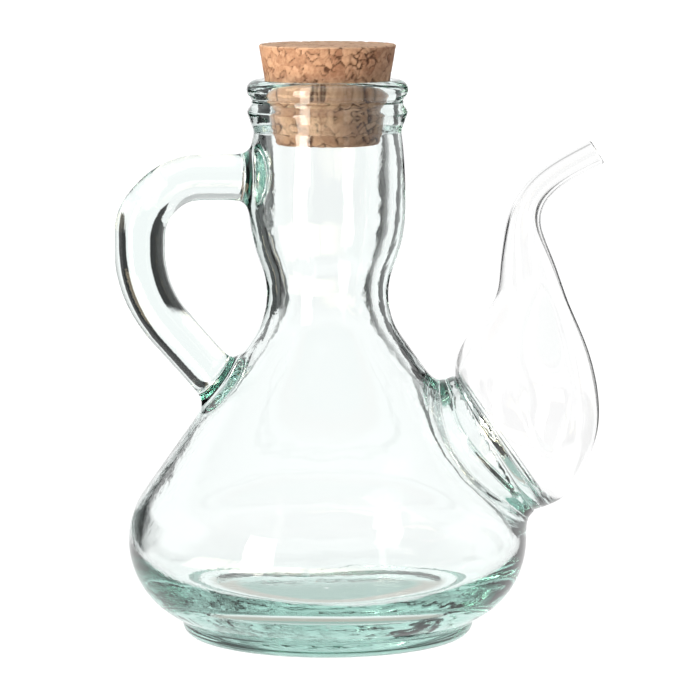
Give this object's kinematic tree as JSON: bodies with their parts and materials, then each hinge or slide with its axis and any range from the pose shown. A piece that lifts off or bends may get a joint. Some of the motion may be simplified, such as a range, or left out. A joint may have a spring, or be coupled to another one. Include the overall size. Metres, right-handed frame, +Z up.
{
  "type": "oil bottle",
  "caption": "Empty blown glass oil bottle: squat round body, waisted neck with a ringed lip, loop handle, clear glass spout and tapered cork.",
  "frame": {"origin": "on the bottle's axis in the plane that the foot ring stands on", "axes": "+Z up along the bottle's axis, +X towards the spout, -X towards the handle, +Y to the back"},
  "size_m": [0.1433, 0.118, 0.175],
  "materials": {
    "green_glass": "clear pale blue-green glass, slightly wavy",
    "clear_glass": "clear colourless glass, smooth",
    "cork": "matt pressed cork grains"
  },
  "bodies": {
    "root": {"bottle": "green_glass", "spout": "clear_glass", "cork": "cork"}
  },
  "joints": []
}
